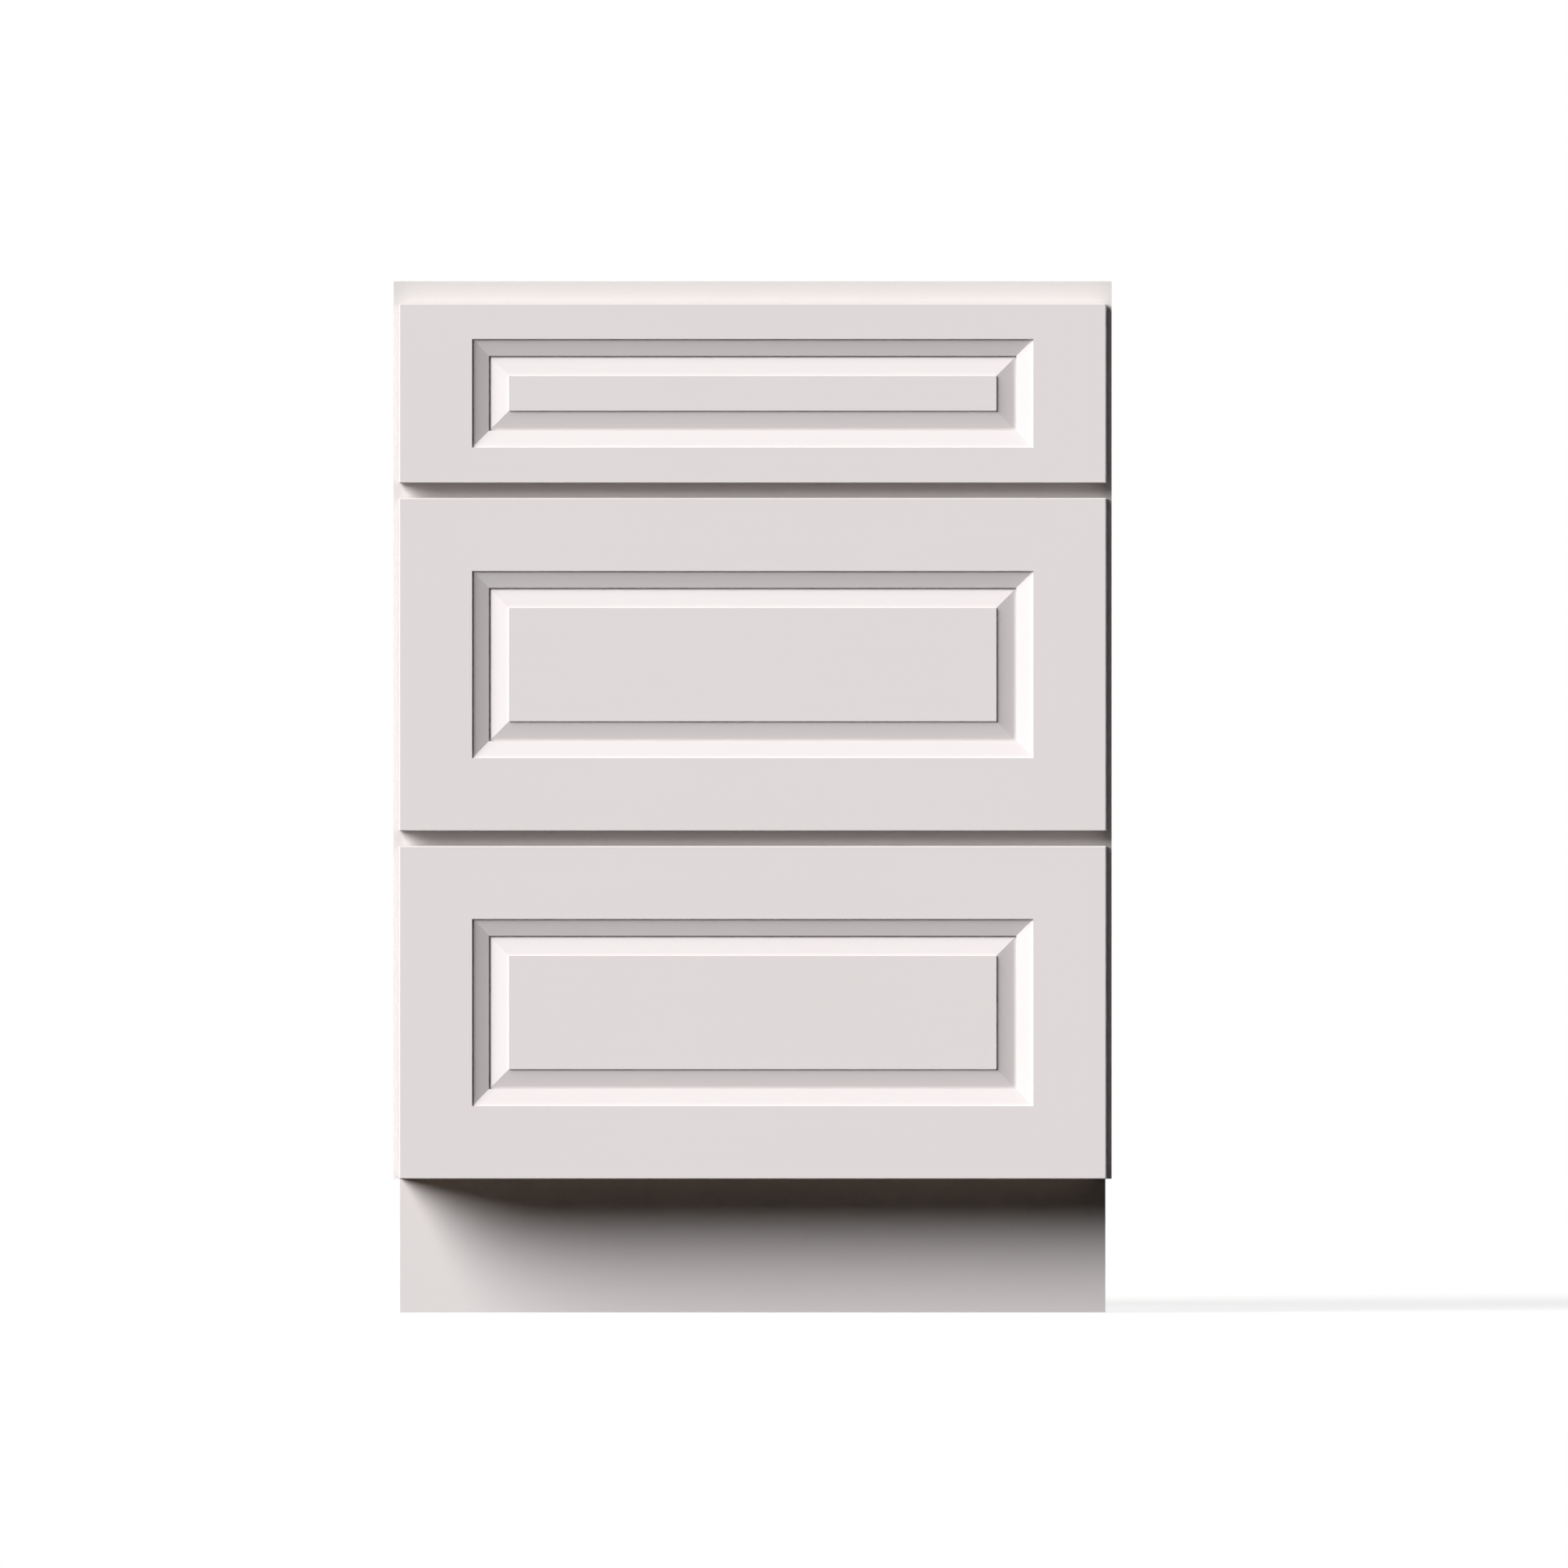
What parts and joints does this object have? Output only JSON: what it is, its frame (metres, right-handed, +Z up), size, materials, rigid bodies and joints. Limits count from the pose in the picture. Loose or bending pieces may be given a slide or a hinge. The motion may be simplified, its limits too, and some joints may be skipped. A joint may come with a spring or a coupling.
{
  "type": "drawer base cabinet",
  "caption": "Face-frame kitchen base cabinet: raised-panel overlay drawers on full-extension undermount slides, open top and recessed toe kick.",
  "frame": {"origin": "on the floor, in the middle of the whole outline", "axes": "+Z up, -Y out of the drawer fronts, +X to the right as seen from the front"},
  "size_m": [0.6096, 0.6302, 0.8763],
  "materials": {
    "painted_wood": "sprayed warm off-white satin paint",
    "cabinet_side": "plywood, painted outside to match, clear inside",
    "plywood": "clear satin lacquer on maple-faced plywood",
    "drawer_wood": "clear satin lacquer on solid maple",
    "zinc_steel": "zinc-plated rolled steel",
    "screw_steel": "zinc-plated",
    "white_plastic": "moulded nylon",
    "grey_plastic": "moulded nylon",
    "lever_plastic": "moulded acetal",
    "clear_pad": "clear soft pad"
  },
  "bodies": {
    "carcass": {"side_panel_left": "cabinet_side", "side_panel_right": "cabinet_side", "bottom_panel": "plywood", "back_panel": "plywood", "toe_kick_board": "painted_wood", "hanging_rails": "plywood", "corner_braces": "white_plastic", "frame_stile_left": "painted_wood", "frame_stile_right": "painted_wood", "frame_top_rail": "painted_wood", "frame_upper_rail": "painted_wood", "frame_lower_rail": "painted_wood", "frame_bottom_rail": "painted_wood", "carcass_screws": "screw_steel", "slide_rear_brackets": "white_plastic", "top_drawer_runners": "zinc_steel", "middle_drawer_runners": "zinc_steel", "bottom_drawer_runners": "zinc_steel"},
    "top_drawer": {"top_drawer_front_stiles": "painted_wood", "top_drawer_front_rails": "painted_wood", "top_drawer_front_panel": "painted_wood", "top_drawer_bumpers": "clear_pad", "top_drawer_box_sides": "drawer_wood", "top_drawer_box_front": "drawer_wood", "top_drawer_box_back": "drawer_wood", "top_drawer_box_bottom": "plywood", "top_drawer_slide_members": "zinc_steel", "top_drawer_lock_housings": "grey_plastic", "top_drawer_screws": "screw_steel"},
    "top_drawer_glides": {"top_drawer_glides": "zinc_steel"},
    "top_drawer_lever_left": {"top_drawer_lever_left": "lever_plastic"},
    "top_drawer_lever_right": {"top_drawer_lever_right": "lever_plastic"},
    "middle_drawer": {"middle_drawer_front_stiles": "painted_wood", "middle_drawer_front_rails": "painted_wood", "middle_drawer_front_panel": "painted_wood", "middle_drawer_bumpers": "clear_pad", "middle_drawer_box_sides": "drawer_wood", "middle_drawer_box_front": "drawer_wood", "middle_drawer_box_back": "drawer_wood", "middle_drawer_box_bottom": "plywood", "middle_drawer_slide_members": "zinc_steel", "middle_drawer_lock_housings": "grey_plastic", "middle_drawer_screws": "screw_steel"},
    "middle_drawer_glides": {"middle_drawer_glides": "zinc_steel"},
    "middle_drawer_lever_left": {"middle_drawer_lever_left": "lever_plastic"},
    "middle_drawer_lever_right": {"middle_drawer_lever_right": "lever_plastic"},
    "bottom_drawer": {"bottom_drawer_front_stiles": "painted_wood", "bottom_drawer_front_rails": "painted_wood", "bottom_drawer_front_panel": "painted_wood", "bottom_drawer_bumpers": "clear_pad", "bottom_drawer_box_sides": "drawer_wood", "bottom_drawer_box_front": "drawer_wood", "bottom_drawer_box_back": "drawer_wood", "bottom_drawer_box_bottom": "plywood", "bottom_drawer_slide_members": "zinc_steel", "bottom_drawer_lock_housings": "grey_plastic", "bottom_drawer_screws": "screw_steel"},
    "bottom_drawer_glides": {"bottom_drawer_glides": "zinc_steel"},
    "bottom_drawer_lever_left": {"bottom_drawer_lever_left": "lever_plastic"},
    "bottom_drawer_lever_right": {"bottom_drawer_lever_right": "lever_plastic"}
  },
  "joints": [
    {"name": "top_drawer_slide", "type": "slide", "parent": "carcass", "child": "top_drawer", "axis": [0, -1, 0], "range_m": [0, 0.508]},
    {"name": "top_drawer_glide_slide", "type": "slide", "parent": "carcass", "child": "top_drawer_glides", "axis": [0, -1, 0], "range_m": [0, 0.254]},
    {"name": "top_drawer_lever_left_hinge", "type": "hinge", "parent": "top_drawer", "child": "top_drawer_lever_left", "pos_m": [-0.20733, -0.2542, 0.73734], "axis": [0, 0, 1], "range_deg": [0, 10], "stiffness_Nm_per_rad": 0.05},
    {"name": "top_drawer_lever_right_hinge", "type": "hinge", "parent": "top_drawer", "child": "top_drawer_lever_right", "pos_m": [0.20733, -0.2542, 0.73734], "axis": [0, 0, -1], "range_deg": [0, 10], "stiffness_Nm_per_rad": 0.05},
    {"name": "middle_drawer_slide", "type": "slide", "parent": "carcass", "child": "middle_drawer", "axis": [0, -1, 0], "range_m": [0, 0.508]},
    {"name": "middle_drawer_glide_slide", "type": "slide", "parent": "carcass", "child": "middle_drawer_glides", "axis": [0, -1, 0], "range_m": [0, 0.254]},
    {"name": "middle_drawer_lever_left_hinge", "type": "hinge", "parent": "middle_drawer", "child": "middle_drawer_lever_left", "pos_m": [-0.20733, -0.2542, 0.44206], "axis": [0, 0, 1], "range_deg": [0, 10], "stiffness_Nm_per_rad": 0.05},
    {"name": "middle_drawer_lever_right_hinge", "type": "hinge", "parent": "middle_drawer", "child": "middle_drawer_lever_right", "pos_m": [0.20733, -0.2542, 0.44206], "axis": [0, 0, -1], "range_deg": [0, 10], "stiffness_Nm_per_rad": 0.05},
    {"name": "bottom_drawer_slide", "type": "slide", "parent": "carcass", "child": "bottom_drawer", "axis": [0, -1, 0], "range_m": [0, 0.508]},
    {"name": "bottom_drawer_glide_slide", "type": "slide", "parent": "carcass", "child": "bottom_drawer_glides", "axis": [0, -1, 0], "range_m": [0, 0.254]},
    {"name": "bottom_drawer_lever_left_hinge", "type": "hinge", "parent": "bottom_drawer", "child": "bottom_drawer_lever_left", "pos_m": [-0.20733, -0.2542, 0.17219], "axis": [0, 0, 1], "range_deg": [0, 10], "stiffness_Nm_per_rad": 0.05},
    {"name": "bottom_drawer_lever_right_hinge", "type": "hinge", "parent": "bottom_drawer", "child": "bottom_drawer_lever_right", "pos_m": [0.20733, -0.2542, 0.17219], "axis": [0, 0, -1], "range_deg": [0, 10], "stiffness_Nm_per_rad": 0.05}
  ],
  "couplings": [
    {"joint": "top_drawer_glide_slide", "follows": "top_drawer_slide", "ratio": 0.5},
    {"joint": "middle_drawer_glide_slide", "follows": "middle_drawer_slide", "ratio": 0.5},
    {"joint": "bottom_drawer_glide_slide", "follows": "bottom_drawer_slide", "ratio": 0.5}
  ]
}
